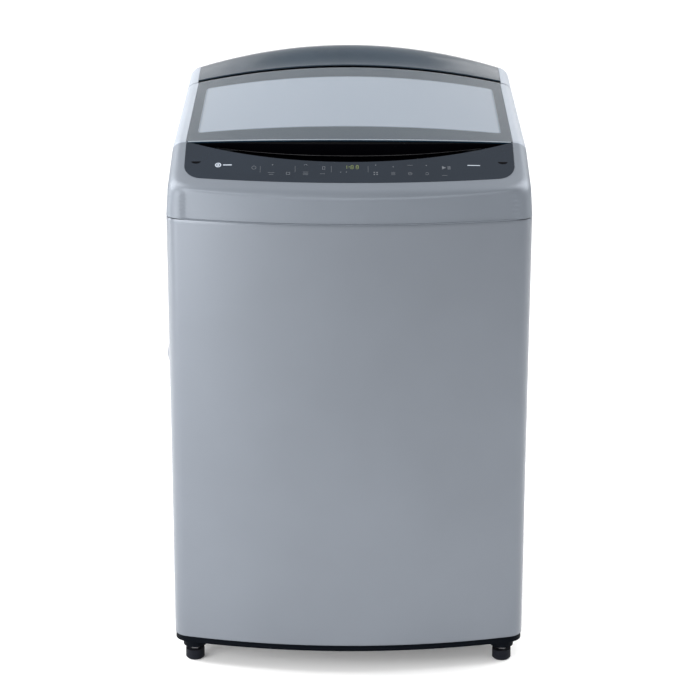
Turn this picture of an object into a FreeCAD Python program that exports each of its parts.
import FreeCAD, Part
import math
import os
import re
import Sketcher
from FreeCAD import Placement, Rotation, Vector

# A top load washing machine, in millimetres. The origin is on the floor under the tub's axis,
# the front faces -Y, +X is to the right of somebody standing at the front, and +Z is up.

SIZES = {
    # cabinet, seen from above: a bowed front between two rounded corners
    "half_width": 316.0, "half_depth": 335.0, "bow_radius": 1090.0, "corner_radius": 30.0,
    "sheet": 1.0, "wrap_bottom": 51.0, "wrap_top": 833.2, "back_flange": 20.0,
    "cover_bottom": 834.4, "rear_sheet": 1.5, "rear_cover_low": 150.0, "rear_cover_high": 830.0,
    "rear_screw_head": 4.0, "rear_screw_thick": 0.5, "rear_screw_rows": 4.0,
    # base and feet
    "base_bottom": 40.0, "base_flange": 46.0, "base_rim_top": 74.0, "base_gap": 0.3,
    "base_rim": 3.0, "base_ring": 30.0, "foot_pad_low": 28.0, "foot_pad_radius": 21.0,
    "foot_x": 280.0, "foot_front_y": 272.0, "foot_back_y": 280.0, "foot_radius": 17.0,
    "foot_tall": 19.2, "foot_round": 3.0, "stud_radius": 5.0, "stud_top": 62.0,
    "foot_bore": 5.06, "nut_radius": 9.5, "nut_low": 20.0, "nut_high": 27.8,
    # hanging corners
    "rod_place": 258.0, "rod_radius": 4.0, "rod_low": 262.0, "rod_high": 806.0,
    "rod_head_radius": 8.0, "rod_head_tall": 4.0, "rod_foot_radius": 13.0, "rod_foot_tall": 4.0,
    "plate_low": 795.0, "plate_thick": 3.0, "plate_inner": 232.0, "plate_hole": 5.0,
    "spring_low": 263.2, "spring_high": 304.6, "spring_radius": 10.0, "spring_wire": 1.6,
    "spring_turns": 5.0, "cup_low": 306.4, "cup_radius": 14.0, "running_gap": 0.05,
    # outer tub
    "tub_radius": 283.0, "tub_wall": 3.0, "tub_bottom": 215.0, "tub_top": 786.0,
    "tub_floor": 4.0, "tub_rim": 291.0, "tub_rim_low": 780.0, "tub_hub_radius": 37.0,
    "tub_hub_top": 234.0, "tub_hole": 31.0, "lug_low": 318.0, "lug_high": 338.0,
    "lug_width": 34.0, "lug_reach": 380.0, "lug_hole": 6.0, "tub_cover_top": 808.0,
    "tub_cover_inner": 222.0, "tub_cover_lip": 4.0, "tub_cover_step": 270.0,
    # drive, along the tub's axis
    "housing_low": 160.0, "housing_flange_low": 205.0, "housing_flange": 105.0,
    "housing_radius": 40.0, "bearing_outer": 30.0, "bearing_upper_low": 196.0,
    "bearing_upper_high": 212.0, "bearing_lower_low": 170.0, "bearing_lower_high": 184.0,
    "seal_low": 221.0, "seal_high": 231.0, "spin_shaft_radius": 16.0, "spin_shaft_low": 149.0,
    "spin_shaft_high": 262.0, "wash_shaft_radius": 8.0, "wash_shaft_low": 122.0,
    "wash_shaft_high": 286.0, "stator_low": 168.0, "stator_high": 192.0, "stator_yoke": 92.0,
    "stator_radius": 119.0, "tooth_width": 7.0, "tooth_count": 36.0, "rotor_radius": 128.0,
    "rotor_inner": 121.0, "rotor_low": 134.0, "rotor_floor": 4.0, "rotor_high": 194.0,
    "rotor_hub": 24.0, "rotor_hub_high": 147.0, "rotor_nut_radius": 13.0, "rotor_nut_low": 125.0,
    "coupler_low": 150.0, "coupler_high": 161.0, "coupler_radius": 26.0,
    # basket and pulsator
    "basket_radius": 264.2, "basket_wall": 1.2, "basket_low": 246.0, "basket_floor_top": 262.0,
    "basket_hub_low": 237.0, "basket_hub_radius": 70.0, "balance_low": 738.0,
    "balance_high": 784.0, "balance_inner": 214.0, "pulsator_radius": 165.0,
    "pulsator_low": 264.5, "pulsator_edge": 272.0, "pulsator_top": 292.0, "vane_width": 22.0,
    "vane_top": 304.0, "vane_reach": 150.0, "vane_count": 4.0, "cap_radius": 32.0,
    "cap_top": 308.0, "filter_low": 420.0, "filter_high": 640.0, "filter_width": 80.0,
    "filter_depth": 14.0,
    # drain and clutch gear under the tub
    "drain_x": 165.0, "drain_y": 70.0, "drain_z": 186.0, "drain_radius": 26.0,
    "drain_bore": 20.0, "drain_half": 30.0, "drain_wall": 3.0, "drain_neck": 14.0,
    "drain_neck_end": 130.0, "plunger_radius": 19.0, "plunger_rod": 4.0, "plunger_end": 228.0,
    "motor_inner": 240.0, "motor_outer": 266.0, "motor_half": 20.0, "motor_low": 172.0,
    "clutch_x": 142.0, "clutch_long": 60.0, "clutch_half": 28.0, "clutch_low": 176.0,
    "elbow_x": 180.0, "elbow_z": 92.0, "elbow_radius": 16.0, "elbow_bore": 13.0,
    "elbow_front": 296.0, "elbow_back": 333.0, "elbow_saddle": 20.0,
    # top cover and its crowned surfaces
    "lid_front_y": -200.0, "lid_front_z": 952.0, "lid_rise": 0.117, "front_crown": 11.0,
    "crown_growth": 0.0463, "crown_span": 285.0, "tumble": 0.065, "shoulder": 21.0,
    "crease_z": 879.0, "crease_back": 5.0, "brow_z": 893.0, "brow_back": 15.0,
    "panel_z": 900.0, "panel_back": 30.0, "panel_slope": 0.488, "block_top": 1040.0,
    "cover_wall": 3.0, "front_wall": 5.0, "deck_drop": 24.0, "lid_arc": 1883.0,
    "lens_arc": 559.0, "lens_front": -255.0, "well_radius": 228.0, "well_low": 823.0,
    "trough_front": 197.0, "trough_back": 245.0, "trough_low": 936.0, "trough_half": 286.5,
    "bay_front": 176.0, "bay_inner": 153.0,
    # control panel and finger recess
    "panel_half": 285.0, "panel_corner": 36.0, "panel_thick": 2.5, "panel_step": 1.5, "plug_x": 265.0,
    "plug_y": -231.0, "plug_radius": 7.0, "recess_floor": 897.0, "recess_wall": 2.5,
    "recess_reach": 18.0, "board_half": 150.0, "board_thick": 1.6, "board_deep": 30.0,
    "board_y": -274.0, "board_z": 889.0, "board_tilt": 26.0,
    # rear console
    "console_lip_y": 218.0, "console_crest_y": 300.0, "console_crest_z": 1023.0,
    "console_crest_crown": 43.0, "console_back_z": 1014.0, "console_back_crown": 42.0,
    "console_half": 287.0, "cap_front": 210.5, "cap_gap": 0.3, "console_wall": 3.0,
    # lid
    "glass_thick": 4.0, "lid_back": 202.0, "rail_back": 205.0, "rail_drop": 23.0,
    "rail_gap": 0.4, "rail_wall": 3.0, "rail_swing": 17.0, "cap_swing": 19.2, "frame_drop": 14.0,
    "window_half": 265.0, "window_front": -130.0,
    "window_back": 145.0, "lip_thick": 5.0, "lip_half": 272.0, "lip_middle_z": 925.0,
    "lip_end_z": 942.0, "hinge_y": 186.0, "hinge_z": 961.0, "pin_radius": 2.5,
    "pin_inner": 240.0, "barrel_outer": 262.0, "bracket_inner": 264.0, "bracket_outer": 274.0,
    "barrel_radius": 6.0, "bracket_half": 7.0, "bracket_top": 3.8, "arm_front": 140.0, "arm_thick": 3.0,
    "bumper_x": 240.0, "bumper_y": -168.0, "bumper_radius": 6.0, "strike_x": 272.0,
    "strike_y": -120.0, "strike_half": 10.0, "strike_thick": 3.0, "strike_low": 900.0,
    "strike_hole": 5.0, "strike_hole_z": 908.0, "lock_inner": 232.0, "lock_outer": 266.0,
    "lock_half": 26.0, "lock_low": 894.0, "lock_high": 918.0, "bolt_radius": 3.5,
    "bolt_inner": 240.0, "bolt_outer": 270.0,
    # water inlets, dispenser, control box, cord gland, side clip
    "valve_x": 150.0, "valve_apart": 62.0, "valve_z": 888.0, "valve_thread": 13.22,
    "valve_bore": 9.0, "valve_neck": 11.0, "valve_flange": 17.0, "valve_end": 333.0,
    "valve_half": 18.0, "valve_front": 262.0, "valve_back": 300.0, "inlet_pocket_y": 316.0,
    "inlet_pocket_margin": 34.0, "dispenser_half": 62.0, "dispenser_low": 858.0,
    "dispenser_high": 910.0, "dispenser_front": 219.0, "dispenser_back": 310.0,
    "dispenser_wall": 2.0, "drawer_gap": 1.5, "drawer_wall": 2.0, "drawer_back": 300.0,
    "drawer_front": 214.0, "box_left": -236.0, "box_right": -82.0, "box_front": 256.0,
    "box_back": 326.0, "box_low": 850.0, "box_high": 925.0, "gland_x": 240.0,
    "gland_z": 770.0, "gland_radius": 8.0, "gland_bore": 4.2, "gland_flange": 11.0,
    "gland_front": 322.0, "gland_back": 336.5, "clip_reach": 9.0, "clip_front": -214.0,
    "clip_back": -166.0, "clip_low": 541.0, "clip_high": 590.0, "clip_slope": 20.0,
}

# limits of cutting solids that reach past the machine on every side
TALL = 1100.0
WIDE = 400.0
WIDE_FRONT = 350.0
SPARE = 30.0
OVERCUT = 5.0

doc = FreeCAD.newDocument("TopLoadWasher")
sheet = doc.addObject("Spreadsheet::Sheet", "Sizes")
for row, (alias, number) in enumerate(SIZES.items(), start=1):
    sheet.set(f"A{row}", alias)
    sheet.set(f"B{row}", str(number))
    sheet.setAlias(f"B{row}", alias)
doc.recompute()

nodes = []


def cells(text):
    """An expression with each size's name turned into a reference to the sheet's cell."""
    return re.sub(r"[a-z_]\w*", lambda m: "Sizes." + m[0] if m[0] in SIZES else m[0], str(text))


def value(text):
    """The number that an expression over the sheet gives."""
    answer = sheet.evalExpression(cells(text))
    return float(getattr(answer, "Value", answer))


def bind(thing, prop, text):
    thing.setExpression(prop, cells(text))


def node(thing, label):
    """Name an object as one of the machine's parts."""
    thing.Label = label
    nodes.append(thing)
    return thing


# ---------------------------------------------------------------- PartDesign helpers

def new_body(label, keep=True):
    body = doc.addObject("PartDesign::Body", label)
    return node(body, label) if keep else body


def new_sketch(body, role, offset="0"):
    """A sketch on one of the body's own planes, moved along the plane's normal."""
    sketch = body.newObject("Sketcher::SketchObject", body.Name + "_outline")
    plane = [item for item in body.Origin.OriginFeatures if item.Role == role][0]
    sketch.AttachmentSupport = [(plane, "")]
    sketch.MapMode = "FlatFace"
    bind(sketch, ".AttachmentOffset.Base.z", offset)
    return sketch


def pin(sketch, kind, geometry, point, text):
    index = sketch.addConstraint(Sketcher.Constraint(kind, -1, 1, geometry, point, value(text)))
    bind(sketch, f"Constraints[{index}]", text)


def add_circle(sketch, x, y, radius):
    centre = Vector(value(x), value(y), 0)
    index = sketch.addGeometry(Part.Circle(centre, Vector(0, 0, 1), value(radius)))
    pin(sketch, "DistanceX", index, 3, x)
    pin(sketch, "DistanceY", index, 3, y)
    number = sketch.addConstraint(Sketcher.Constraint("Radius", index, value(radius)))
    bind(sketch, f"Constraints[{number}]", radius)


def arc_between(start, end, radius):
    """The short arc that runs anticlockwise from start to end."""
    across = end - start
    half = across.Length / 2
    left = Vector(-across.y, across.x, 0).normalize()
    centre = (start + end) / 2 + left * math.sqrt(radius ** 2 - half ** 2)
    first = math.atan2(start.y - centre.y, start.x - centre.x)
    last = math.atan2(end.y - centre.y, end.x - centre.x)
    if last < first:
        last += 2 * math.pi
    return Part.ArcOfCircle(Part.Circle(centre, Vector(0, 0, 1), radius), first, last)


def add_outline(sketch, points, arcs=None):
    """A closed outline through points; arcs gives the radius of the edge that leaves a point."""
    arcs = arcs or {}
    where = [Vector(value(x), value(y), 0) for x, y in points]
    base = sketch.GeometryCount
    count = len(points)
    for i, start in enumerate(where):
        end = where[(i + 1) % count]
        if i in arcs:
            sketch.addGeometry(arc_between(start, end, value(arcs[i])))
        else:
            sketch.addGeometry(Part.LineSegment(start, end))
    for i, (x, y) in enumerate(points):
        after = base + (i + 1) % count
        sketch.addConstraint(Sketcher.Constraint("Coincident", base + i, 2, after, 1))
        pin(sketch, "DistanceX", base + i, 1, x)
        pin(sketch, "DistanceY", base + i, 1, y)
    for i, radius in arcs.items():
        number = sketch.addConstraint(Sketcher.Constraint("Radius", base + i, value(radius)))
        bind(sketch, f"Constraints[{number}]", radius)


def add_rectangle(sketch, left, right, low, high):
    add_outline(sketch, [(left, low), (right, low), (right, high), (left, high)])


def add_pad(body, sketch, length):
    pad = body.newObject("PartDesign::Pad", body.Name + "_pad")
    pad.Profile = sketch
    bind(pad, "Length", length)
    sketch.Visibility = False
    doc.recompute()
    return pad


def add_pocket(body, sketch, length, reverse=False):
    before = body.Shape.Volume
    pocket = body.newObject("PartDesign::Pocket", body.Name + "_pocket")
    pocket.Profile = sketch
    pocket.Reversed = reverse
    bind(pocket, "Length", length)
    doc.recompute()
    if body.Shape.Volume >= before:
        raise RuntimeError(f"the pocket in {body.Label} cuts nothing")
    return pocket


def add_pattern(body, feature, count):
    """Copies of a feature round the vertical axis."""
    pattern = body.newObject("PartDesign::PolarPattern", body.Name + "_pattern")
    pattern.Originals = [feature]
    axis = [item for item in body.Origin.OriginFeatures if item.Role == "Z_Axis"][0]
    pattern.Axis = (axis, [""])
    pattern.Angle = 360
    pattern.Occurrences = int(value(count))
    body.Tip = pattern
    doc.recompute()
    return pattern


def turned(label, profile, keep=True):
    """A body turned about the vertical axis from a profile of (radius, height) points."""
    body = new_body(label, keep)
    sketch = new_sketch(body, "XZ_Plane")
    add_outline(sketch, profile)
    revolution = body.newObject("PartDesign::Revolution", label + "_turn")
    revolution.Profile = sketch
    revolution.ReferenceAxis = (sketch, ["V_Axis"])
    revolution.Angle = 360
    doc.recompute()
    return body


def ring(label, inner, outer, low, high, keep=True):
    return turned(label, [(inner, low), (outer, low), (outer, high), (inner, high)], keep)


# ---------------------------------------------------------------- Part helpers

def place(thing, x, y, z):
    for axis, text in zip("xyz", (x, y, z)):
        bind(thing, f".Placement.Base.{axis}", text)


def block(name, xs, ys, zs):
    """A box between two corners given as pairs of expressions."""
    thing = doc.addObject("Part::Box", name)
    for prop, (low, high) in zip(("Length", "Width", "Height"), (xs, ys, zs)):
        bind(thing, prop, f"({high}) - ({low})")
    place(thing, xs[0], ys[0], zs[0])
    return thing


TURNS = {
    "x": Rotation(Vector(0, 1, 0), 90),
    "y": Rotation(Vector(1, 0, 0), -90),
    "z": Rotation(),
}


def rod(name, radius, length, at, axis="z"):
    """A cylinder that starts at a point and runs along +X, +Y or +Z."""
    thing = doc.addObject("Part::Cylinder", name)
    bind(thing, "Radius", radius)
    bind(thing, "Height", length)
    thing.Placement = Placement(Vector(), TURNS[axis])
    place(thing, *at)
    return thing


def cut(name, base, tool):
    thing = doc.addObject("Part::Cut", name)
    thing.Base, thing.Tool = base, tool
    return thing


def fuse(name, things):
    thing = doc.addObject("Part::MultiFuse", name)
    thing.Shapes = things
    return thing


def group(name, things):
    """Separate solids of the same kind, kept as one part."""
    thing = doc.addObject("Part::Compound", name)
    thing.Links = things
    return thing


def formed(name, shape, keep=True):
    """A shape that is neither a plain primitive nor a sketched solid."""
    thing = doc.addObject("Part::Feature", name)
    thing.Shape = shape
    return node(thing, name) if keep else thing


CORNERS = [(-1, -1), (1, -1), (1, 1), (-1, 1)]


# ---------------------------------------------------------------- cabinet

BOW_CENTRE = "(bow_radius - half_depth)"
CORNER_X = "(half_width - corner_radius)"
CORNER_Y = f"({BOW_CENTRE} - sqrt((bow_radius - corner_radius)^2 - {CORNER_X}^2))"


def cabinet_outline(inset, back):
    """The cabinet's outline from above, moved inwards by inset, with its arcs' radii."""
    share = f"(bow_radius - ({inset})) / (bow_radius - corner_radius)"
    side = f"half_width - ({inset})"
    bow_x = f"{CORNER_X} * {share}"
    bow_y = f"{BOW_CENTRE} + ({CORNER_Y} - {BOW_CENTRE}) * {share}"
    points = [
        (f"-({side})", back), (f"-({side})", CORNER_Y), (f"-({bow_x})", bow_y),
        (bow_x, bow_y), (side, CORNER_Y), (side, back),
    ]
    corner = f"corner_radius - ({inset})"
    return points, {1: corner, 2: f"bow_radius - ({inset})", 3: corner}


def cabinet_wrap():
    """One bent sheet: front, two sides and two narrow flanges at the back."""
    body = new_body("cabinet_wrap")
    sketch = new_sketch(body, "XY_Plane", "wrap_bottom")
    add_outline(sketch, *cabinet_outline("0", "half_depth - rear_sheet"))
    add_outline(sketch, *cabinet_outline("sheet", "half_depth - rear_sheet - sheet"))
    add_pad(body, sketch, "wrap_top - wrap_bottom")
    window = new_sketch(body, "XZ_Plane")
    side = "half_width - back_flange"
    add_rectangle(window, f"-({side})", side, "wrap_bottom - 1", "wrap_top + 1")
    add_pocket(body, window, "half_depth")


def rear_cover():
    """The back plate, with a hole for the cord gland, and the screws that hold it."""
    body = new_body("rear_cover")
    sketch = new_sketch(body, "XZ_Plane", "rear_sheet - half_depth")
    side = "half_width - 6"
    add_rectangle(sketch, f"-({side})", side, "rear_cover_low", "rear_cover_high")
    add_circle(sketch, "gland_x", "gland_z", "gland_radius")
    pad = add_pad(body, sketch, "rear_sheet")
    pad.Reversed = True
    screws = []
    step = "(rear_cover_high - rear_cover_low - 60) / (rear_screw_rows - 1)"
    for side_sign in (-1, 1):
        for i in range(int(value("rear_screw_rows"))):
            at = (f"{side_sign} * (half_width - back_flange / 2 - 4)", "half_depth",
                  f"rear_cover_low + 30 + {i} * {step}")
            screws.append(rod("rear_screw", "rear_screw_head", "rear_screw_thick", at, "y"))
    node(group("rear_cover_screws", screws), "rear_cover_screws")


def foot_places():
    """The four feet as (sign of x, y as an expression)."""
    return [(sign, y) for y in ("-foot_front_y", "foot_back_y") for sign in (-1, 1)]


def base_frame():
    """The moulded skirt that carries the cabinet, with a threaded pad over each foot."""
    body = new_body("base_frame")
    edge = "sheet + base_gap"
    floor = new_sketch(body, "XY_Plane", "base_bottom")
    back = "half_depth - rear_sheet - sheet - base_gap"
    add_outline(floor, *cabinet_outline(edge, back))
    inner = f"{edge} + base_ring"
    side = f"half_width - ({inner})"
    add_rectangle(floor, f"-({side})", side, "-half_depth + 2 * base_ring + 20",
                  f"{back} - base_ring")
    add_pad(body, floor, "base_flange - base_bottom")
    rim = new_sketch(body, "XY_Plane", "base_flange")
    add_outline(rim, *cabinet_outline(edge, back))
    rim_edge = f"{edge} + base_rim"
    add_outline(rim, *cabinet_outline(rim_edge, f"{back} - base_rim"))
    add_pad(body, rim, "base_rim_top - base_flange")
    pads = new_sketch(body, "XY_Plane", "foot_pad_low")
    for sign, y in foot_places():
        add_circle(pads, f"{sign} * foot_x", y, "foot_pad_radius")
    add_pad(body, pads, "base_flange - foot_pad_low")
    bores = new_sketch(body, "XY_Plane", "foot_pad_low")
    for sign, y in foot_places():
        add_circle(bores, f"{sign} * foot_x", y, "foot_bore")
    add_pocket(body, bores, "base_flange - foot_pad_low + 1", reverse=True)


def foot(name, sign, y, keep=True):
    """A levelling foot: a disc with a rounded lower edge on a stud."""
    body = turned(name, [
        ("0", "0"), ("foot_radius - foot_round", "0"), ("foot_radius", "foot_round"),
        ("foot_radius", "foot_tall"), ("stud_radius", "foot_tall"),
        ("stud_radius", "stud_top"), ("0", "stud_top"),
    ], keep)
    place(body, f"{sign} * foot_x", y, "0")
    return body


def feet():
    foot("foot_front_left", -1, "-foot_front_y")
    foot("foot_front_right", 1, "-foot_front_y")
    rear = [foot("rear_foot", sign, "foot_back_y", keep=False) for sign in (-1, 1)]
    node(group("rear_feet", rear), "rear_feet")
    nuts = []
    for sign, y in foot_places():
        nut = doc.addObject("Part::Prism", "lock_nut")
        nut.Polygon = 6
        bind(nut, "Circumradius", "nut_radius")
        bind(nut, "Height", "nut_high - nut_low")
        place(nut, f"{sign} * foot_x", y, "nut_low")
        bore = rod("lock_nut_bore", "foot_bore", "nut_high - nut_low + 2",
                   (f"{sign} * foot_x", y, "nut_low - 1"))
        nuts.append(cut("lock_nut_bored", nut, bore))
    node(group("foot_lock_nuts", nuts), "foot_lock_nuts")


def side_clip():
    """A small moulded hose clip on the left side, thicker at its lower edge."""
    body = new_body("side_clip")
    sketch = new_sketch(body, "XZ_Plane", "-clip_back")
    wall = "-half_width"
    tip = "-half_width - clip_reach"
    add_outline(sketch, [
        (wall, "clip_low"), (wall, "clip_high"), (f"{wall} - 1", "clip_high"),
        (tip, "clip_high - clip_slope"), (tip, "clip_low + 8"), (f"{wall} - 5", "clip_low"),
    ][::-1])
    add_pad(body, sketch, "clip_back - clip_front")


# ---------------------------------------------------------------- suspension

def corner_plates():
    """Steel gussets in the cabinet's top corners that the tub's rods hang from."""
    inside = new_body("cabinet_inside", keep=False)
    sketch = new_sketch(inside, "XY_Plane", "plate_low")
    add_outline(sketch, *cabinet_outline("sheet", "half_depth - rear_sheet - sheet"))
    add_pad(inside, sketch, "plate_thick")
    plates = []
    for x, y in CORNERS:
        ends = ["plate_inner", "half_depth"]
        xs = ends if x > 0 else [f"-{end}" for end in ends[::-1]]
        ys = ends if y > 0 else [f"-{end}" for end in ends[::-1]]
        area = block("corner_area", xs, ys, ("plate_low", "plate_low + plate_thick"))
        plate = doc.addObject("Part::MultiCommon", "corner_plate")
        plate.Shapes = [area, inside]
        hole = rod("corner_hole", "plate_hole", "plate_thick + 2",
                   (f"{x} * rod_place", f"{y} * rod_place", "plate_low - 1"))
        plates.append(cut("corner_plate_bored", plate, hole))
    node(group("corner_plates", plates), "corner_plates")


def suspension_rods():
    rods = []
    for x, y in CORNERS:
        at = (f"{x} * rod_place", f"{y} * rod_place")
        shaft = rod("rod_shaft", "rod_radius", "rod_high - rod_low", (*at, "rod_low"))
        head = rod("rod_head", "rod_head_radius", "rod_head_tall",
                   (*at, "plate_low + plate_thick"))
        end = rod("rod_end", "rod_foot_radius", "rod_foot_tall",
                  (*at, "rod_low - rod_foot_tall"))
        rods.append(fuse("suspension_rod", [shaft, head, end]))
    node(group("suspension_rods", rods), "suspension_rods")


def wire_section(centre, radius, sides=8):
    """A faceted round: a regular polygon with the circle's area, upright along X and Z."""
    step = 2 * math.pi / sides
    reach = radius * math.sqrt(2 * math.pi / (sides * math.sin(step)))
    corners = [centre + Vector(reach * math.cos(k * step), 0, reach * math.sin(k * step))
               for k in range(sides)]
    return Part.makePolygon([*corners, corners[0]])


def suspension_springs():
    """Coil springs between each rod's lower end and the tub's cup."""
    tall = value("spring_high - spring_low")
    radius = value("spring_radius")
    coils = []
    for x, y in CORNERS:
        helix = Part.makeHelix(tall / value("spring_turns"), tall, radius)
        centre = Vector(radius, 0, 0)
        section = wire_section(centre, value("spring_wire") / 2)
        coil = Part.Wire(helix).makePipeShell([section], True, True)
        coil.translate(Vector(x * value("rod_place"), y * value("rod_place"),
                              value("spring_low + spring_wire / 2 - 0.8")))
        coils.append(coil)
    formed("suspension_springs", Part.makeCompound(coils))


def suspension_cups():
    """Damping cups under the tub's lugs that slide on the rods."""
    cups = []
    for x, y in CORNERS:
        cup = ring("cup", "rod_radius + running_gap", "cup_radius", "cup_low", "lug_low", False)
        place(cup, f"{x} * rod_place", f"{y} * rod_place", "0")
        cups.append(cup)
    node(group("suspension_cups", cups), "suspension_cups")


# ---------------------------------------------------------------- tub

def outer_tub():
    """The water tub: a floor with a hub collar, a wall, a rim and four hanging lugs."""
    body = new_body("outer_tub")
    sketch = new_sketch(body, "XZ_Plane")
    add_outline(sketch, [
        ("tub_hole", "tub_bottom"), ("tub_radius", "tub_bottom"), ("tub_radius", "tub_rim_low"),
        ("tub_rim", "tub_rim_low"), ("tub_rim", "tub_top"),
        ("tub_radius - tub_wall", "tub_top"),
        ("tub_radius - tub_wall", "tub_bottom + tub_floor"),
        ("tub_hub_radius", "tub_bottom + tub_floor"), ("tub_hub_radius", "tub_hub_top"),
        ("tub_hole", "tub_hub_top"),
    ])
    turn = body.newObject("PartDesign::Revolution", "tub_turn")
    turn.Profile = sketch
    turn.ReferenceAxis = (sketch, ["V_Axis"])
    turn.Angle = 360
    doc.recompute()
    lug = new_sketch(body, "XY_Plane", "lug_low")
    # the lug lies along the diagonal, from inside the wall to past the rod
    near, far, half = "(tub_radius - tub_wall / 2)", "lug_reach", "(lug_width / 2)"
    diagonal = "sqrt(0.5)"
    corners = [(near, f"-{half}"), (far, f"-{half}"), (far, half), (near, half)]
    add_outline(lug, [(f"({along} - ({across})) * {diagonal}",
                       f"({along} + ({across})) * {diagonal}") for along, across in corners])
    add_circle(lug, "rod_place", "rod_place", "lug_hole")
    pad = add_pad(body, lug, "lug_high - lug_low")
    add_pattern(body, pad, "4")
    return body


def tub_cover():
    """The ring that closes the tub's rim over the basket's edge."""
    low, high = "tub_top", "tub_cover_top"
    turned("tub_cover", [
        ("tub_radius - tub_wall", low), ("tub_rim", low), ("tub_rim", f"{low} + 6"),
        ("tub_cover_step", high), ("tub_cover_inner", high),
        ("tub_cover_inner", f"{high} - tub_cover_lip"),
        ("tub_cover_step - 3", f"{high} - tub_cover_lip"),
    ])


def bearings():
    turned("bearing_housing", [
        ("bearing_outer", "housing_low"), ("housing_radius", "housing_low"),
        ("housing_radius", "housing_flange_low"), ("housing_flange", "housing_flange_low"),
        ("housing_flange", "tub_bottom"), ("bearing_outer", "tub_bottom"),
    ])
    inner = "spin_shaft_radius + running_gap"
    ring("bearing_upper", inner, "bearing_outer", "bearing_upper_low", "bearing_upper_high")
    ring("bearing_lower", inner, "bearing_outer", "bearing_lower_low", "bearing_lower_high")
    ring("water_seal", inner, "tub_hole", "seal_low", "seal_high")


def stator():
    """A toothed ring of windings fixed round the bearing housing."""
    body = new_body("stator")
    yoke = new_sketch(body, "XY_Plane", "stator_low")
    add_circle(yoke, "0", "0", "stator_yoke")
    add_circle(yoke, "0", "0", "housing_radius")
    add_pad(body, yoke, "stator_high - stator_low")
    tooth = new_sketch(body, "XY_Plane", "stator_low + 3")
    half = "tooth_width / 2"
    add_rectangle(tooth, "stator_yoke - 2", "stator_radius", f"-({half})", half)
    pad = add_pad(body, tooth, "stator_high - stator_low - 6")
    add_pattern(body, pad, "tooth_count")


def rotor():
    """The cup that carries the magnets, fixed on the wash shaft."""
    turned("rotor", [
        ("wash_shaft_radius", "rotor_low"), ("rotor_radius", "rotor_low"),
        ("rotor_radius", "rotor_high"), ("rotor_inner", "rotor_high"),
        ("rotor_inner", "rotor_low + rotor_floor"), ("rotor_hub", "rotor_low + rotor_floor"),
        ("rotor_hub", "rotor_hub_high"), ("wash_shaft_radius", "rotor_hub_high"),
    ])
    body = new_body("rotor_nut")
    sketch = new_sketch(body, "XY_Plane", "rotor_nut_low")
    hexagon = [(f"rotor_nut_radius * {math.cos(math.radians(60 * i)):.6f}",
                f"rotor_nut_radius * {math.sin(math.radians(60 * i)):.6f}") for i in range(6)]
    add_outline(sketch, hexagon)
    add_circle(sketch, "0", "0", "wash_shaft_radius")
    add_pad(body, sketch, "rotor_low - rotor_nut_low")


def shafts():
    ring("spin_shaft", "wash_shaft_radius + running_gap", "spin_shaft_radius",
         "spin_shaft_low", "spin_shaft_high")
    ring("wash_shaft", "0", "wash_shaft_radius", "wash_shaft_low", "wash_shaft_high")
    ring("clutch_coupler", "spin_shaft_radius + running_gap", "coupler_radius",
         "coupler_low", "coupler_high")


def basket():
    """The perforated drum, its floor with a hub, the balance ring and two lint filters."""
    inner = "basket_radius - basket_wall"
    ring("basket_wall", inner, "basket_radius", "basket_low", "balance_low")
    turned("basket_bottom", [
        ("spin_shaft_radius", "basket_hub_low"), ("basket_hub_radius", "basket_hub_low"),
        ("basket_hub_radius + 12", "basket_low"), (f"{inner} - 0.1", "basket_low"),
        (f"{inner} - 0.1", "basket_floor_top"), ("spin_shaft_radius", "basket_floor_top"),
    ])
    turned("balance_ring", [
        ("balance_inner + 6", "balance_low"), ("basket_radius", "balance_low"),
        ("basket_radius", "balance_high"), ("balance_inner", "balance_high"),
        ("balance_inner", "balance_low + 6"),
    ])
    filters = []
    for sign in (-1, 1):
        outer = f"{inner} - 4"
        xs = [f"{outer} - filter_depth", outer]
        if sign < 0:
            xs = [f"-({end})" for end in xs[::-1]]
        filters.append(block("lint_filter", xs, ("-filter_width / 2", "filter_width / 2"),
                             ("filter_low", "filter_high")))
    node(group("lint_filters", filters), "lint_filters")


def pulsator():
    """The ribbed disc at the bottom of the basket, with its centre cap."""
    body = new_body("pulsator")
    sketch = new_sketch(body, "XZ_Plane")
    add_outline(sketch, [
        ("0", "wash_shaft_high"), ("wash_shaft_radius", "wash_shaft_high"),
        ("wash_shaft_radius", "pulsator_low"), ("pulsator_radius", "pulsator_low"),
        ("pulsator_radius", "pulsator_edge"), ("cap_radius", "pulsator_top"),
        ("cap_radius", "cap_top"), ("0", "cap_top"),
    ])
    turn = body.newObject("PartDesign::Revolution", "pulsator_turn")
    turn.Profile = sketch
    turn.ReferenceAxis = (sketch, ["V_Axis"])
    turn.Angle = 360
    doc.recompute()
    vane = new_sketch(body, "XY_Plane", "pulsator_low + 2")
    half = "vane_width / 2"
    add_rectangle(vane, "cap_radius - 8", "vane_reach", f"-({half})", half)
    pad = add_pad(body, vane, "vane_top - pulsator_low - 2")
    add_pattern(body, pad, "vane_count")


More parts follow.
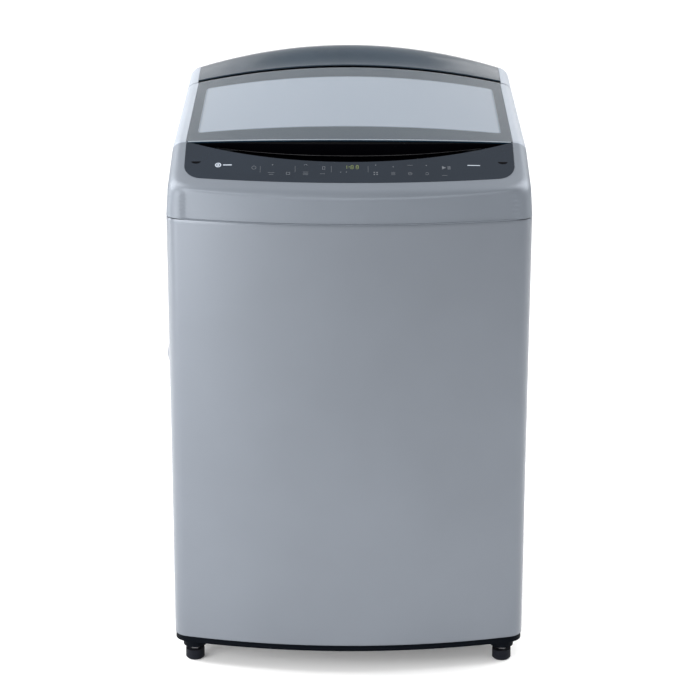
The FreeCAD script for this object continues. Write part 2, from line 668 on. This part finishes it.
def drain_gear():
    """The drain valve, its plunger and motor, and the clutch motor, all under the tub."""
    middle = ("-drain_x", "drain_y", "drain_z")
    left = "-drain_x - drain_half"
    shell = rod("valve_shell", "drain_radius", "2 * drain_half", (left, *middle[1:]), "x")
    neck = rod("valve_neck", "drain_bore", "tub_bottom - drain_z", middle)
    outlet = rod("valve_outlet", "drain_neck", "drain_neck_end - drain_y", middle, "y")
    hollow = rod("valve_hollow", "drain_bore", "2 * (drain_half - drain_wall)",
                 (f"{left} + drain_wall", *middle[1:]), "x")
    mouth = rod("valve_mouth", "drain_bore - drain_wall", "tub_bottom - drain_z + 1", middle)
    outlet_bore = rod("outlet_bore", "drain_neck - drain_wall", "drain_neck_end - drain_y + 1",
                      middle, "y")
    rod_hole = rod("rod_hole", "plunger_rod + 0.6", "drain_wall + 2",
                   (f"{left} - 1", *middle[1:]), "x")
    outside = fuse("valve_outside", [shell, neck, outlet])
    inside = fuse("valve_inside", [hollow, mouth, outlet_bore, rod_hole])
    node(cut("drain_valve_body", outside, inside), "drain_valve_body")
    disc = rod("plunger_disc", "plunger_radius", "8", ("-drain_x + 8", *middle[1:]), "x")
    stem = rod("plunger_stem", "plunger_rod", "plunger_end - drain_x + 10",
               ("-plunger_end", *middle[1:]), "x")
    node(fuse("drain_plunger", [disc, stem]), "drain_plunger")
    node(block("drain_motor", ("-motor_outer", "-motor_inner"),
               ("drain_y - motor_half", "drain_y + motor_half"), ("motor_low", "tub_bottom")),
         "drain_motor")
    node(block("clutch_motor", ("clutch_x", "clutch_x + clutch_long"),
               ("-clutch_half", "clutch_half"), ("clutch_low", "tub_bottom")), "clutch_motor")


def drain_elbow():
    """The fixed outlet at the back that a drain hose pushes onto."""
    at = ("elbow_x", "elbow_front", "elbow_z")
    length = "elbow_back - elbow_front"
    tube = rod("elbow_tube", "elbow_radius", length, at, "y")
    stand = block("elbow_stand", ("elbow_x - elbow_saddle", "elbow_x + elbow_saddle"),
                  ("elbow_front", "elbow_front + 8"), ("base_flange", "elbow_z + elbow_saddle"))
    bore = rod("elbow_bore", "elbow_bore", f"{length} - 4", ("elbow_x", "elbow_front + 6", at[2]),
               "y")
    node(cut("drain_elbow", fuse("elbow_outside", [tube, stand]), bore), "drain_elbow")


# ---------------------------------------------------------------- top surfaces

def arc3(first, middle, last):
    return Part.Arc(Vector(*first), Vector(*middle), Vector(*last)).toShape()


def line(first, last):
    return Part.makeLine(Vector(*first), Vector(*last))


def side_at(height, inset):
    """Half the top cover's width at a height: its sides lean inwards."""
    return value(f"half_width - tumble * ({height} - cover_bottom) - {inset}")


def crown_wire(y, middle, crown, drop, inset, floor):
    """A closed section across the machine: crowned top, round shoulders, leaning sides."""
    radius = max(value("shoulder") - inset, 2.0)
    span = value("crown_span")
    edge = side_at(middle - crown - drop, inset) - radius
    top = middle - drop
    end = top - crown * (edge / span) ** 2
    side = side_at(end - radius, inset)
    edge = side - radius
    foot_x = side_at(floor, inset)
    bend = radius * math.sqrt(0.5)
    edges = [
        arc3((-edge, y, end), (0, y, top), (edge, y, end)),
        arc3((edge, y, end), (edge + bend, y, end - radius + bend), (side, y, end - radius)),
        line((side, y, end - radius), (foot_x, y, floor)),
        line((foot_x, y, floor), (-foot_x, y, floor)),
        line((-foot_x, y, floor), (-side, y, end - radius)),
        arc3((-side, y, end - radius), (-edge - bend, y, end - radius + bend), (-edge, y, end)),
    ]
    return Part.Wire(edges)


def lid_line(y):
    """Height and crown of the lid's surface at a distance y along the machine."""
    height = value(f"lid_front_z + lid_rise * ({y} - lid_front_y)")
    crown = value(f"front_crown + crown_growth * ({y} - lid_front_y)")
    return height, crown


def loft(wires):
    return Part.makeLoft(wires, True, True)


def crown_block(drop, inset, floor, front=-345.0, back=None):
    """Everything under the lid's surface, lowered by drop and narrowed by inset."""
    back = value("half_depth") if back is None else back
    ends = [(y, *lid_line(y)) for y in (front, back)]
    return loft([crown_wire(*end, drop, inset, floor) for end in ends])


def all_below(drop):
    """All the space below the lid's lowered surface, past the machine's own sides."""
    return crown_block(drop, -SPARE, 700.0, -WIDE_FRONT, WIDE)


def console_block(thickness, front, back):
    """Everything under the rear console's arched surface."""
    stations = [
        (front, *lid_line(front)),
        (value("console_lip_y"), *lid_line(value("console_lip_y"))),
        (value("console_crest_y"), value("console_crest_z"), value("console_crest_crown")),
        (back, value("console_back_z"), value("console_back_crown")),
    ]
    floor = value("cover_bottom")
    return loft([crown_wire(*station, thickness, thickness, floor) for station in stations])


def plan_wire(height, bow, half, corner, back):
    """The cabinet's kind of outline at a height, with its own bow, width and corners."""
    centre_y = value("bow_radius - half_depth")
    corner_x = half - corner
    corner_y = centre_y - math.sqrt((bow - corner) ** 2 - corner_x ** 2)
    share = bow / (bow - corner)
    bow_x, bow_y = corner_x * share, centre_y + (corner_y - centre_y) * share
    bend_x, bend_y = (half + bow_x) / 2, (corner_y + bow_y) / 2
    out = Vector(bend_x - corner_x, bend_y - corner_y, 0).normalize() * corner
    z = height
    return Part.Wire([
        line((-half, back, z), (-half, corner_y, z)),
        arc3((-half, corner_y, z), (-corner_x - out.x, corner_y + out.y, z), (-bow_x, bow_y, z)),
        arc3((-bow_x, bow_y, z), (0, centre_y - bow, z), (bow_x, bow_y, z)),
        arc3((bow_x, bow_y, z), (corner_x + out.x, corner_y + out.y, z), (half, corner_y, z)),
        line((half, corner_y, z), (half, back, z)),
        line((half, back, z), (-half, back, z)),
    ])


def front_block(wall, floor, back):
    """Everything behind the fascia and under the sloping control panel."""
    bow = value("bow_radius")
    slope = value("panel_slope")
    fall = wall * math.sqrt(1 + slope ** 2)
    top = value("block_top")
    panel_bow = bow - value("panel_back")
    levels = [
        (floor, bow - wall),
        (value("crease_z") - wall * 0.4, bow - value("crease_back") - wall),
        (value("brow_z") - wall * 0.8, bow - value("brow_back") - wall * 0.8),
        (value("panel_z") - fall, panel_bow),
        (top - fall, panel_bow - (top - value("panel_z")) / slope),
    ]
    wires = []
    for height, radius in levels:
        half = side_at(min(height, value("panel_z")), wall) + 0.8
        wires.append(plan_wire(height, radius, half, value("corner_radius") - wall, back))
    return loft(wires)


def prism(wire, height):
    return Part.Face(wire).extrude(Vector(0, 0, height))


def upright(radius, y, low, high):
    """A vertical cylinder on the machine's centre line."""
    return Part.makeCylinder(radius, high - low, Vector(0, y, low))


def corner_box(low, high):
    size = Vector(*high) - Vector(*low)
    return Part.makeBox(size.x, size.y, size.z, Vector(*low))


def behind_lid_front(step, low=800.0, high=1100.0):
    """The space behind the lid's curved front edge, moved back by step."""
    radius = value("lid_arc")
    centre = value("lid_front_y") + radius + step
    disc = upright(radius, centre, low, high)
    return disc.common(corner_box((-WIDE, -WIDE, low), (WIDE, WIDE, high)))


def recess_lens(inset, floor):
    """The finger recess as a solid: a lens from above, reaching a little under the lid."""
    front = upright(value("lens_arc") - inset, value("lens_front + lens_arc"), floor, 1000)
    return front.cut(behind_lid_front(value("recess_reach") - inset))


def hinge_trough(wall):
    """The sunk channel behind the laundry well, with a deeper bay round each hinge."""
    half, low = value("trough_half") + wall, value("trough_low") - wall
    back = value("trough_back") + wall
    trough = corner_box((-half, value("trough_front") - wall, low), (half, back, TALL))
    for sign in (-1, 1):
        ends = sorted((sign * (value("bay_inner") - wall), sign * half))
        trough = trough.fuse(corner_box((ends[0], value("bay_front") - wall, low),
                                        (ends[1], back, TALL)))
    return trough


def raised_space(wall):
    """What the top cover leaves free above its deck, thinned all round by a wall."""
    deck = all_below(value("deck_drop") + wall)
    above = corner_box((-WIDE, -WIDE_FRONT, 850), (WIDE, WIDE, TALL)).cut(deck)
    space = above.common(behind_lid_front(-wall))
    return space.fuse(hinge_trough(wall))


def inlet_pocket(wall):
    margin = value("inlet_pocket_margin") + wall
    left = value("valve_x") - margin
    right = value("valve_x + valve_apart") + margin
    z = value("valve_z")
    return corner_box((left, value("inlet_pocket_y") - wall, z - margin),
                      (right, value("half_depth") + 5, z + margin))


def panel_plan(margin):
    """The control panel's outline from above, as an upright solid."""
    bow = value("bow_radius - panel_back") - 0.4 + margin
    wire = plan_wire(880.0, bow, value("panel_half") + margin, value("panel_corner") + margin,
                     -120.0)
    solid = prism(wire, 90.0)
    solid = solid.cut(upright(value("lens_arc") - margin, value("lens_front + lens_arc"),
                              870, 980))
    return solid.cut(behind_lid_front(margin - value("panel_step")))


def cover_skin():
    """The top cover's outer block with the lid's space taken out."""
    floor = value("cover_bottom")
    back = value("half_depth")
    outer = crown_block(0.0, 0.0, floor).common(front_block(0.0, floor, back))
    return outer.cut(raised_space(0.0)).cut(inlet_pocket(0.0))


def top_cover(skin):
    """The moulded top: fascia, leaning sides, deck under the lid, and the laundry well."""
    wall = value("cover_wall")
    floor = value("cover_bottom") - 5
    back = value("half_depth") - wall
    inner = crown_block(wall, wall, floor).common(
        front_block(value("front_wall"), floor, back))
    inner = inner.cut(raised_space(wall)).cut(inlet_pocket(wall))
    shell = skin.cut(inner)
    well, wide = value("well_radius"), value("well_radius") + wall
    low = value("well_low")
    collar = upright(wide, 0, low, 1000).cut(upright(well, 0, low - 1, 1001))
    deck_space = all_below(value("deck_drop"))
    trough = hinge_trough(wall)
    collar = collar.common(deck_space).cut(trough)
    mouth = value("dispenser_half") + 1
    collar = collar.cut(corner_box(
        (-mouth, 150, value("dispenser_low") - 1), (mouth, 300, value("dispenser_high") + 1)))
    shell = shell.cut(upright(well + 1, 0, 900, 1000).cut(trough)).fuse(collar)
    rebate = panel_plan(0.3).cut(front_block(value("panel_thick"), 700.0, 300.0))
    shell = shell.cut(rebate).cut(recess_lens(-0.3, value("recess_floor") - 0.3))
    for i in (0, 1):
        x = value("valve_x") + i * value("valve_apart")
        shell = shell.cut(Part.makeCylinder(value("valve_neck"), 20, Vector(
            x, value("inlet_pocket_y") - 10, value("valve_z")), Vector(0, 1, 0)))
    strike_x, strike_y = value("strike_x"), value("strike_y")
    shell = shell.cut(corner_box((strike_x - 5, strike_y - 18, 890),
                                 (strike_x + 8, strike_y + 18, 960)))
    formed("top_cover", shell.removeSplitter())


def control_panel():
    """The dark touch panel let into the sloping front, and its two plugs."""
    thick = value("panel_thick")
    outer = front_block(0.0, 700.0, 300.0)
    layer = outer.cut(front_block(thick, 690.0, 310.0))
    panel = panel_plan(0.0).common(layer)
    plugs = []
    for sign in (-1, 1):
        at = Vector(sign * value("plug_x"), value("plug_y"), 850)
        hole = Part.makeCylinder(value("plug_radius"), 150, at)
        plugs.append(hole.common(layer))
        panel = panel.cut(Part.makeCylinder(value("plug_radius") + 0.1, 150, at))
    formed("control_panel", panel)
    formed("panel_plugs", Part.makeCompound(plugs))


def finger_recess(skin):
    """The glossy scoop in front of the lid."""
    wall = value("recess_wall")
    floor = value("recess_floor")
    cup = recess_lens(0.0, floor).cut(recess_lens(wall, floor + wall))
    formed("finger_recess", cup.common(skin))


def hinge_round(radius):
    """A round bar along the hinge's axis, longer than the machine is wide."""
    start = Vector(-WIDE, value("hinge_y"), value("hinge_z"))
    return Part.makeCylinder(radius, 2 * WIDE, start, Vector(1, 0, 0))


def behind_hinge(radius, reach=60.0):
    """What lies behind the hinge's axis and outside a radius round it."""
    y, z = value("hinge_y"), value("hinge_z")
    box = corner_box((-WIDE, y, z - reach), (WIDE, y + reach, z + reach))
    return box.cut(hinge_round(radius))


def console():
    """The arched rear console and the two end caps beside it."""
    wall = value("console_wall")
    front, back = value("cap_front") - 20, value("half_depth")
    shell = console_block(0.0, front, back).cut(console_block(wall, front - 1, back - wall))
    deck = all_below(value("deck_drop") - 0.2)
    shell = shell.cut(deck)
    half = value("console_half")
    middle = corner_box((-half, value("console_lip_y"), 900), (half, back + 1, TALL))
    formed("rear_console", shell.common(middle))
    caps = []
    turning_room = hinge_round(value("cap_swing"))
    for sign in (-1, 1):
        ends = sorted((sign * (half + value("cap_gap")), sign * WIDE))
        side = corner_box((ends[0], value("hinge_y"), 900), (ends[1], back + 1, TALL))
        caps.append(shell.common(side).cut(turning_room))
    formed("console_end_caps", Part.makeCompound(caps))


# ---------------------------------------------------------------- lid

def lid():
    """The curved glass, silver side rails and the black frame behind the glass."""
    thick, wall = value("glass_thick"), value("rail_wall")
    floor, half_depth = value("cover_bottom"), value("half_depth")
    outer = crown_block(0.0, 0.0, floor)
    in_front = behind_lid_front(0.0)
    back = value("lid_back")
    glass_half = value("crown_span")
    layer = outer.cut(crown_block(thick, thick, floor - OVERCUT, -WIDE_FRONT,
                                  half_depth + OVERCUT))
    area = corner_box((-glass_half, -300, 900), (glass_half, back, TALL)).common(in_front)
    formed("lid_glass", layer.common(area))
    rails = []
    low = all_below(value("rail_drop"))
    swept = behind_hinge(value("rail_swing"))
    inside = crown_block(wall, wall, floor - OVERCUT, -WIDE_FRONT, half_depth + OVERCUT)
    skin = outer.cut(inside).cut(low)
    for sign in (-1, 1):
        ends = sorted((sign * (glass_half + value("rail_gap")), sign * WIDE))
        side = corner_box((ends[0], -300, 880), (ends[1], value("rail_back"), TALL))
        rails.append(skin.common(side.common(in_front)).cut(swept))
    formed("lid_side_rails", Part.makeCompound(rails))
    frame_half = glass_half - 1
    under = crown_block(thick, thick, floor)
    frame = under.cut(all_below(value("frame_drop")))
    frame = frame.common(corner_box((-frame_half, -300, 900), (frame_half, back - 1, TALL)))
    frame = frame.common(behind_lid_front(1.0))
    window = value("window_half")
    frame = frame.cut(corner_box((-window, value("window_front"), 880),
                                 (window, value("window_back"), TALL)))
    lip_half = value("lip_half")
    low_z, end_z = value("lip_middle_z"), value("lip_end_z")
    y = -260.0
    profile = Part.Wire([
        arc3((-lip_half, y, end_z), (0, y, low_z), (lip_half, y, end_z)),
        line((lip_half, y, end_z), (lip_half, y, 1000)),
        line((lip_half, y, 1000), (-lip_half, y, 1000)),
        line((-lip_half, y, 1000), (-lip_half, y, end_z)),
    ])
    lip = Part.Face(profile).extrude(Vector(0, 200, 0)).common(under)
    lip = lip.common(behind_lid_front(1.0)).cut(behind_lid_front(1.0 + value("lip_thick")))
    # room for each hinge arm's leaf and barrel, and further back for its bracket
    shoulder = value("barrel_outer") + 1
    bracket_front = value("hinge_y - bracket_half / 2") - 4
    rooms = [(value("pin_inner") - 1, shoulder, value("arm_front") - 1),
             (shoulder, value("bracket_outer") + 3, bracket_front)]
    for sign in (-1, 1):
        for inner, far, start in rooms:
            ends = sorted((sign * inner, sign * far))
            frame = frame.cut(corner_box((ends[0], start, 900),
                                         (ends[1], back + 1, value("hinge_z") + 7)))
    formed("lid_frame", frame.fuse(lip).removeSplitter())
    bumpers = []
    below = all_below(value("frame_drop"))
    rest = all_below(value("deck_drop") - 0.3)
    for sign in (-1, 1):
        at = Vector(sign * value("bumper_x"), value("bumper_y"), 900)
        bumpers.append(Part.makeCylinder(value("bumper_radius"), 100, at).common(below).cut(rest))
    formed("lid_bumpers", Part.makeCompound(bumpers))
    strike_x, strike_y = value("strike_x"), value("strike_y")
    half = value("strike_half")
    blade = corner_box((strike_x, strike_y - half, value("strike_low")),
                       (strike_x + value("strike_thick"), strike_y + half, 1000)).common(below)
    hole = Part.makeCylinder(value("strike_hole"), 20, Vector(
        strike_x - 5, strike_y, value("strike_hole_z")), Vector(1, 0, 0))
    formed("lid_strike", blade.cut(hole))


def hinge():
    """Arms with barrels under the lid, pins and brackets at the back of the deck."""
    arms, brackets, pins = [], [], []
    y, z = "hinge_y", "hinge_z"
    for sign in (-1, 1):
        def across(low, high):
            ends = [low, high] if sign > 0 else [f"-({high})", f"-({low})"]
            return ends
        xs = across("pin_inner", "barrel_outer")
        length = f"({xs[1]}) - ({xs[0]})"
        barrel = rod("hinge_barrel", "barrel_radius", length, (xs[0], y, z), "x")
        leaf = block("hinge_leaf", xs, ("arm_front", y), (f"{z} - 2", f"{z} - 2 + arm_thick"))
        bore = rod("barrel_bore", "pin_radius + running_gap", f"{length} + 4",
                   (f"{xs[0]} - 2", y, z), "x")
        arms.append(cut("hinge_arm", fuse("hinge_arm_whole", [barrel, leaf]), bore))
        post = across("bracket_inner", "bracket_outer")
        stand = block("hinge_stand", post, (f"{y} - bracket_half / 2", f"{y} + bracket_half / 2"),
                      ("trough_low", f"{z} + bracket_top"))
        seat = rod("stand_bore", "pin_radius", f"({post[1]}) - ({post[0]}) + 4",
                   (f"{post[0]} - 2", y, z), "x")
        brackets.append(cut("hinge_bracket", stand, seat))
        whole = across("pin_inner", "bracket_outer")
        pins.append(rod("hinge_pin", "pin_radius", f"({whole[1]}) - ({whole[0]})",
                        (whole[0], y, z), "x"))
    node(group("lid_hinge_arms", arms), "lid_hinge_arms")
    node(group("hinge_brackets", brackets), "hinge_brackets")
    node(group("hinge_pins", pins), "hinge_pins")


def lid_lock():
    """The lock body under the deck and the bolt that slides into the lid's strike."""
    ys = ("strike_y - lock_half", "strike_y + lock_half")
    case = block("lock_case", ("lock_inner", "lock_outer"), ys, ("lock_low", "lock_high"))
    bore = rod("lock_bore", "bolt_radius + 0.5", "lock_outer - bolt_inner + 4",
               ("bolt_inner - 2", "strike_y", "strike_hole_z"), "x")
    node(cut("lid_lock_body", case, bore), "lid_lock_body")
    node(rod("lid_lock_bolt", "bolt_radius", "bolt_outer - bolt_inner",
             ("bolt_inner", "strike_y", "strike_hole_z"), "x"), "lid_lock_bolt")


# ---------------------------------------------------------------- water and electrics

def inlet_valve(name, index):
    """A solenoid valve with a threaded spigot that points out of the back."""
    x = f"(valve_x + {index} * valve_apart)"
    spigot = rod("valve_spigot", "valve_thread", "valve_end - inlet_pocket_y - 2",
                 (x, "inlet_pocket_y + 2", "valve_z"), "y")
    flange = rod("valve_flange", "valve_flange", "2", (x, "inlet_pocket_y", "valve_z"), "y")
    neck = rod("valve_neck", "valve_neck - 0.2", "inlet_pocket_y - valve_back",
               (x, "valve_back", "valve_z"), "y")
    case = block("valve_case", (f"{x} - valve_half", f"{x} + valve_half"),
                 ("valve_front", "valve_back"), ("valve_z - valve_half", "valve_z + valve_half"))
    bore = rod("valve_bore", "valve_bore", "valve_end - valve_back + 5",
               (x, "valve_back - 4", "valve_z"), "y")
    node(cut(name, fuse("valve_whole", [spigot, flange, neck, case]), bore), name)


def dispenser():
    """The detergent drawer's housing behind the laundry well, and the drawer."""
    half, wall, gap = "dispenser_half", "dispenser_wall", "(dispenser_wall + drawer_gap)"
    outside = block("housing_outside", (f"-{half}", half), ("dispenser_front", "dispenser_back"),
                    ("dispenser_low", "dispenser_high"))
    inside = block("housing_inside", (f"-{half} + {wall}", f"{half} - {wall}"),
                   ("dispenser_front - 2", f"dispenser_back - {wall}"),
                   (f"dispenser_low + {wall}", f"dispenser_high - {wall}"))
    node(cut("dispenser_housing", outside, inside), "dispenser_housing")
    side = f"({half} - {gap})"
    low, high = f"dispenser_low + {gap}", f"dispenser_high - {gap}"
    tray = block("drawer_outside", (f"-{side}", side), ("drawer_front", "drawer_back"),
                 (low, high))
    hollow = block("drawer_hollow", (f"-{side} + drawer_wall", f"{side} - drawer_wall"),
                   ("drawer_front + 3", "drawer_back - drawer_wall"),
                   (f"{low} + drawer_wall", f"{high} + 5"))
    node(cut("detergent_drawer", tray, hollow), "detergent_drawer")


def electrics():
    """The display board behind the panel, the control box and the cord gland."""
    body = new_body("display_board")
    sketch = new_sketch(body, "XY_Plane")
    add_rectangle(sketch, "-board_half", "board_half", "-board_deep / 2", "board_deep / 2")
    add_pad(body, sketch, "board_thick")
    tilt = value("board_tilt")
    body.Placement = Placement(Vector(0, value("board_y"), value("board_z")),
                               Rotation(Vector(1, 0, 0), tilt))
    node(block("control_box", ("box_left", "box_right"), ("box_front", "box_back"),
               ("box_low", "box_high")), "control_box")
    at = ("gland_x", "gland_front", "gland_z")
    stem = rod("gland_stem", "gland_radius", "gland_back - gland_front", at, "y")
    flange = rod("gland_flange", "gland_flange", "gland_back - half_depth",
                 ("gland_x", "half_depth", "gland_z"), "y")
    bore = rod("gland_bore", "gland_bore", "gland_back - gland_front + 4",
               ("gland_x", "gland_front - 2", "gland_z"), "y")
    node(cut("cord_gland", fuse("gland_whole", [stem, flange]), bore), "cord_gland")


# ---------------------------------------------------------------- build and write

def build():
    cabinet_wrap()
    rear_cover()
    base_frame()
    feet()
    side_clip()
    corner_plates()
    suspension_rods()
    suspension_springs()
    suspension_cups()
    outer_tub()
    tub_cover()
    bearings()
    stator()
    rotor()
    shafts()
    basket()
    pulsator()
    drain_gear()
    drain_elbow()
    skin = cover_skin()
    top_cover(skin)
    control_panel()
    finger_recess(skin)
    console()
    lid()
    hinge()
    lid_lock()
    inlet_valve("inlet_valve_cold", 0)
    inlet_valve("inlet_valve_hot", 1)
    dispenser()
    electrics()


def check():
    """Stop before anything is written if an object failed."""
    doc.recompute()
    for thing in doc.Objects:
        if {"Invalid", "Error"} & set(thing.State):
            raise RuntimeError(f"{thing.Label} failed: {thing.State}")
    for thing in nodes:
        if thing.Shape.isNull() or not thing.Shape.isValid() or not thing.Shape.Solids:
            raise RuntimeError(f"{thing.Label} has no valid solid")


build()
check()
os.makedirs("parts", exist_ok=True)
for thing in nodes:
    thing.Shape.exportStep(f"parts/{thing.Label}.step")
print(len(nodes), "parts written")
